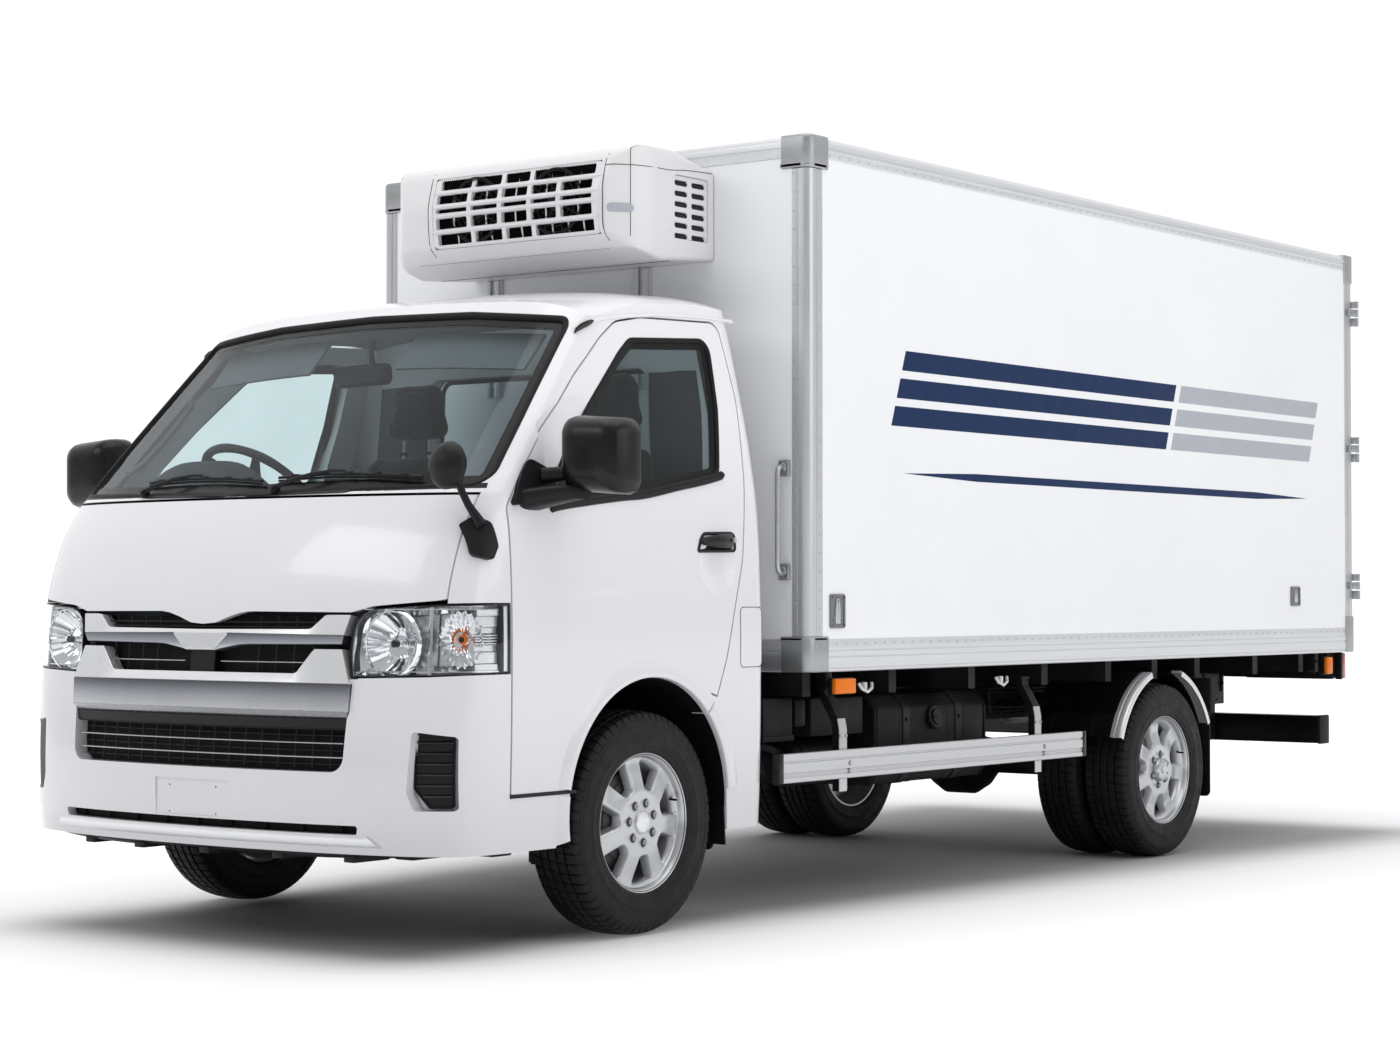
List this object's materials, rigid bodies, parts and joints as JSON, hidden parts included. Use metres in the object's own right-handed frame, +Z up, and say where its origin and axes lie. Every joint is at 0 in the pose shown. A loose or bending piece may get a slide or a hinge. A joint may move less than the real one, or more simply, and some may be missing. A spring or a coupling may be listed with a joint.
{
  "type": "refrigerated truck",
  "caption": "Cab-over refrigerated box truck with insulated load box, front-mounted cooling unit, twin rear wheels, opening cab doors, service lid and rear doors.",
  "frame": {"origin": "on the ground, at the middle of the bounding box in X and Y", "axes": "+X to the truck's left, -Y towards its front, +Z up"},
  "size_m": [2.4158, 6.1073, 2.57],
  "materials": {
    "white_paint": "gloss white",
    "chrome_trim": "bright",
    "lamp_lens": "clear",
    "glass": "tinted",
    "black_plastic": "grained",
    "dark_trim": "soft grain",
    "seat_fabric": "woven",
    "chassis_black": "satin black",
    "engine_iron": "raw",
    "exhaust_steel": "dull",
    "aluminium": "anodised",
    "flap_rubber": "matt",
    "tail_red": "lens",
    "panel_white": "laminate",
    "floor_aluminium": "mill",
    "cap_grey": "cast satin",
    "steel": "zinc",
    "unit_white": "moulded",
    "amber": "lens",
    "tyre_rubber": "moulded",
    "wheel_silver": "silver paint"
  },
  "bodies": {
    "truck": {"cab_shell": "white_paint", "cab_floor": "dark_trim", "sill_panels": "white_paint", "grille": "chrome_trim", "headlamps": "lamp_lens", "front_bumper": "white_paint", "cab_glass": "glass", "under_mirror": "black_plastic", "dashboard": "dark_trim", "steering_wheel": "dark_trim", "seats": "seat_fabric", "wipers": "black_plastic", "chassis_rails": "chassis_black", "cross_members": "chassis_black", "box_subframe": "chassis_black", "engine_block": "engine_iron", "propshaft": "chassis_black", "front_axle": "chassis_black", "rear_axle": "chassis_black", "fuel_tank": "chassis_black", "battery_box": "black_plastic", "exhaust": "exhaust_steel", "side_guards": "aluminium", "rear_fenders": "black_plastic", "mudflaps": "flap_rubber", "rear_underrun_bar": "chassis_black", "tail_lamps": "tail_red", "box_walls": "panel_white", "box_roof": "panel_white", "box_floor": "floor_aluminium", "box_frame": "aluminium", "corner_caps": "cap_grey", "cooling_unit": "unit_white", "front_wall_fittings": "steel", "box_hardware": "steel", "marker_lamps": "amber"},
    "hood": {"hood": "white_paint"},
    "door_left": {"door_left": "white_paint", "door_glass_left": "glass", "mirror_left": "black_plastic"},
    "door_right": {"door_right": "white_paint", "door_glass_right": "glass", "mirror_right": "black_plastic"},
    "rear_door_left": {"rear_door_left": "panel_white"},
    "rear_door_right": {"rear_door_right": "panel_white"},
    "knuckle_left": {"knuckle_left": "engine_iron"},
    "knuckle_right": {"knuckle_right": "engine_iron"},
    "front_wheel_left": {"front_tyre_left": "tyre_rubber", "front_rim_left": "wheel_silver"},
    "front_wheel_right": {"front_tyre_right": "tyre_rubber", "front_rim_right": "wheel_silver"},
    "rear_wheels_left": {"rear_tyres_left": "tyre_rubber", "rear_rims_left": "wheel_silver"},
    "rear_wheels_right": {"rear_tyres_right": "tyre_rubber", "rear_rims_right": "wheel_silver"}
  },
  "joints": [
    {"name": "steer_left", "type": "hinge", "parent": "truck", "child": "knuckle_left", "pos_m": [0.765, -2.034, 0.345], "axis": [0, 0, 1], "range_deg": [-33, 33]},
    {"name": "steer_right", "type": "hinge", "parent": "truck", "child": "knuckle_right", "pos_m": [-0.765, -2.034, 0.345], "axis": [0, 0, 1], "range_deg": [-33, 33]},
    {"name": "front_left_spin", "type": "hinge", "parent": "knuckle_left", "child": "front_wheel_left", "pos_m": [0.8275, -2.034, 0.345], "axis": [1, 0, 0], "continuous": true},
    {"name": "front_right_spin", "type": "hinge", "parent": "knuckle_right", "child": "front_wheel_right", "pos_m": [-0.8275, -2.034, 0.345], "axis": [1, 0, 0], "continuous": true},
    {"name": "rear_left_spin", "type": "hinge", "parent": "truck", "child": "rear_wheels_left", "pos_m": [0.75, 1.273, 0.345], "axis": [1, 0, 0], "continuous": true},
    {"name": "rear_right_spin", "type": "hinge", "parent": "truck", "child": "rear_wheels_right", "pos_m": [-0.75, 1.273, 0.345], "axis": [1, 0, 0], "continuous": true},
    {"name": "door_left_swing", "type": "hinge", "parent": "truck", "child": "door_left", "pos_m": [0.946, -2.679, 0.9], "axis": [0, 0, -1], "range_deg": [0, 68]},
    {"name": "door_right_swing", "type": "hinge", "parent": "truck", "child": "door_right", "pos_m": [-0.946, -2.679, 0.9], "axis": [0, 0, 1], "range_deg": [0, 68]},
    {"name": "hood_lift", "type": "hinge", "parent": "truck", "child": "hood", "pos_m": [0, -2.878, 1.333], "axis": [-1, 0, 0], "range_deg": [0, 50]},
    {"name": "rear_door_left_swing", "type": "hinge", "parent": "truck", "child": "rear_door_left", "pos_m": [0.985, 3.047, 1.7], "axis": [0, 0, -1], "range_deg": [0, 265]},
    {"name": "rear_door_right_swing", "type": "hinge", "parent": "truck", "child": "rear_door_right", "pos_m": [-0.985, 3.047, 1.7], "axis": [0, 0, 1], "range_deg": [0, 265]}
  ],
  "couplings": [
    {"joint": "steer_right", "follows": "steer_left", "ratio": 1}
  ]
}
